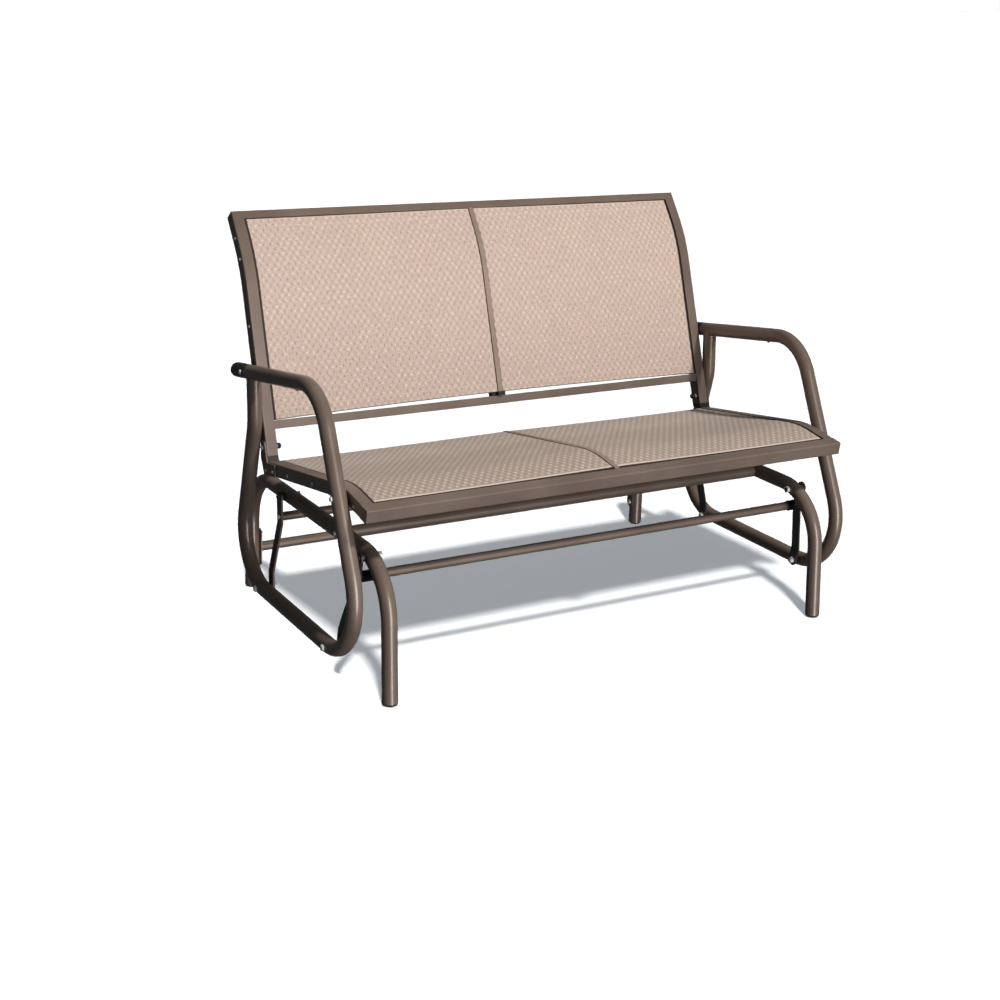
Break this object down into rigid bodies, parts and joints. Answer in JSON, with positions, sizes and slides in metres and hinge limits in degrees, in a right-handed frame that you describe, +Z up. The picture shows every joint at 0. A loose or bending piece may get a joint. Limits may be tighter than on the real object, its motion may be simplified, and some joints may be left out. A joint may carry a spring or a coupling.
{
  "type": "glider bench",
  "caption": "Patio glider bench: woven sling seat and back in a bent steel frame that swings on flat links from an arched base.",
  "frame": {"origin": "on the floor in the middle between the four feet", "axes": "+X along the bench to its right as seen from the front, front faces -Y, +Z up"},
  "size_m": [1.2218, 0.7578, 0.8655],
  "materials": {
    "bronze_frame": "satin bronze-brown powder coat",
    "sling_fabric": "woven vinyl-coated mesh in beige and brown",
    "black_plastic": "black moulded plastic",
    "bush_plastic": "black nylon",
    "zinc_steel": "bright zinc plate"
  },
  "bodies": {
    "base": {"base_arch_left": "bronze_frame", "base_arch_right": "bronze_frame", "base_lower_crossbar": "bronze_frame", "base_upper_crossbar": "bronze_frame", "crossbar_bolts": "zinc_steel", "crossbar_nuts": "zinc_steel", "foot_cap_front_left": "black_plastic", "foot_cap_front_right": "black_plastic", "foot_cap_rear_left": "black_plastic", "foot_cap_rear_right": "black_plastic", "link_top_bolts": "zinc_steel", "link_top_nuts": "zinc_steel"},
    "front_swing": {"front_link_bushes": "bush_plastic", "front_link_left": "bronze_frame", "front_link_right": "bronze_frame", "front_link_screws": "zinc_steel", "front_link_sleeves": "black_plastic", "front_link_tube": "bronze_frame"},
    "rear_swing": {"rear_link_bushes": "bush_plastic", "rear_link_left": "bronze_frame", "rear_link_right": "bronze_frame", "rear_link_screws": "zinc_steel", "rear_link_tube": "bronze_frame"},
    "glider": {"arm_bolts": "zinc_steel", "arm_end_cap_left": "black_plastic", "arm_end_cap_right": "black_plastic", "back_bar_end_cap": "black_plastic", "back_bolts": "zinc_steel", "back_bottom_rail": "bronze_frame", "back_centre_bar": "bronze_frame", "back_knobs": "black_plastic", "back_nuts": "zinc_steel", "back_rail_plugs": "black_plastic", "back_side_rail_left": "bronze_frame", "back_side_rail_right": "bronze_frame", "back_sling_left": "sling_fabric", "back_sling_right": "sling_fabric", "back_top_rail": "bronze_frame", "link_bottom_bolts": "zinc_steel", "link_bottom_nuts": "zinc_steel", "rail_screws": "zinc_steel", "rear_bracket_left": "bronze_frame", "rear_bracket_right": "bronze_frame", "seat_bolts": "zinc_steel", "seat_centre_bar": "bronze_frame", "seat_front_rail": "bronze_frame", "seat_rear_rail": "bronze_frame", "seat_side_rail_left": "bronze_frame", "seat_side_rail_right": "bronze_frame", "seat_sling_left": "sling_fabric", "seat_sling_right": "sling_fabric", "side_loop_left": "bronze_frame", "side_loop_right": "bronze_frame"}
  },
  "joints": [
    {"name": "front_link_swing", "type": "hinge", "parent": "base", "child": "front_swing", "pos_m": [0, -0.268, 0.27486], "axis": [1, 0, 0], "range_deg": [-15, 15]},
    {"name": "glider_swing", "type": "hinge", "parent": "front_swing", "child": "glider", "pos_m": [0, -0.2277, 0.08407], "axis": [1, 0, 0], "range_deg": [-17.2, 17.2]},
    {"name": "rear_link_swing", "type": "hinge", "parent": "base", "child": "rear_swing", "pos_m": [0, 0.1405, 0.28], "axis": [1, 0, 0], "range_deg": [-14.8, 14.8]}
  ],
  "couplings": [
    {"joint": "glider_swing", "follows": "front_link_swing", "ratio": -1.139},
    {"joint": "rear_link_swing", "follows": "front_link_swing", "ratio": 0.9804}
  ]
}
